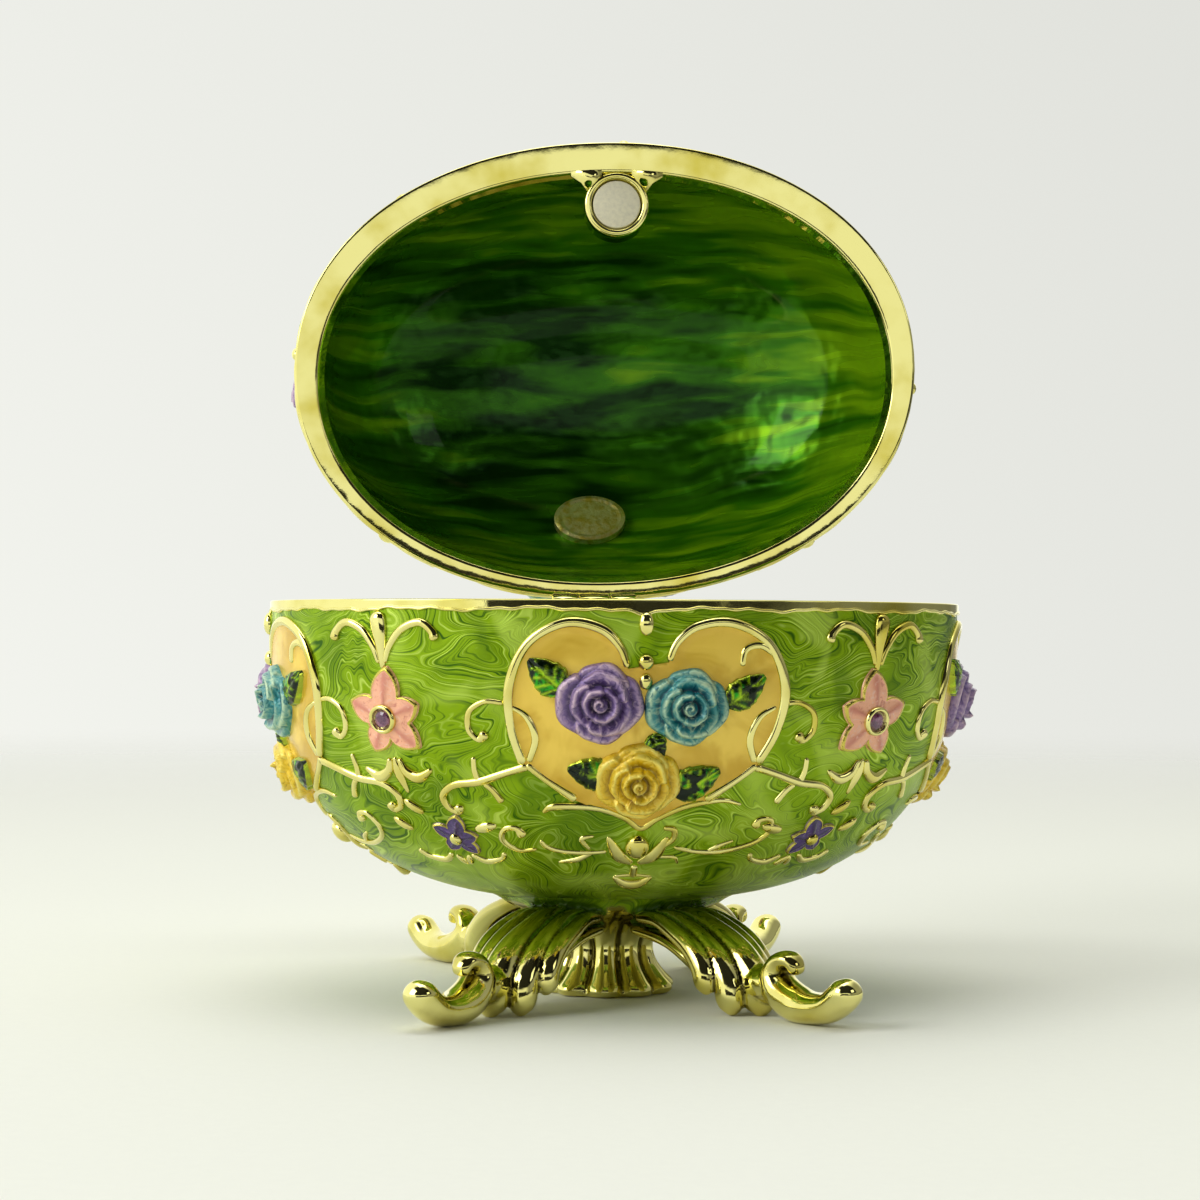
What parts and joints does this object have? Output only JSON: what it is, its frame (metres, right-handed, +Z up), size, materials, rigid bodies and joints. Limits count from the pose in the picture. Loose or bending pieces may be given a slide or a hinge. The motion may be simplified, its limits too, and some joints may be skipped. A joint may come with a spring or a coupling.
{
  "type": "jewelled egg trinket box",
  "caption": "Hollow egg-shaped trinket box lying on a four-legged scroll stand, with a lid that opens on a rear hinge",
  "frame": {"origin": "on the floor under the middle of the egg, at the centre of the central column's flat underside", "axes": "+Z up, X along the egg's long axis, the front looks towards -Y and the hinge is at +Y"},
  "size_m": [0.0692, 0.0775, 0.0879],
  "materials": {
    "enamel": "pearl green enamel over cast metal, with gold-plated relief",
    "gold": "polished pale gold plating",
    "magnet": "matte grey disc",
    "crystal": "faceted violet crystal"
  },
  "bodies": {
    "bowl": {"bowl_shell": "enamel", "foot_stand": "gold", "bowl_magnet": "magnet", "hinge_pin": "gold", "crystal_bowl_1": "crystal", "crystal_bowl_2": "crystal", "crystal_bowl_3": "crystal", "crystal_bowl_4": "crystal"},
    "lid": {"lid_shell": "enamel", "lid_magnet": "magnet", "lid_plaque": "gold", "crystal_lid_1": "crystal", "crystal_lid_2": "crystal", "crystal_lid_3": "crystal", "crystal_lid_4": "crystal"}
  },
  "joints": [
    {"name": "lid_hinge", "type": "hinge", "parent": "bowl", "child": "lid", "pos_m": [-0.00203, 0.02507, 0.03755], "axis": [-0.9994, -0.0347, 0], "range_deg": [-90, 0]}
  ]
}
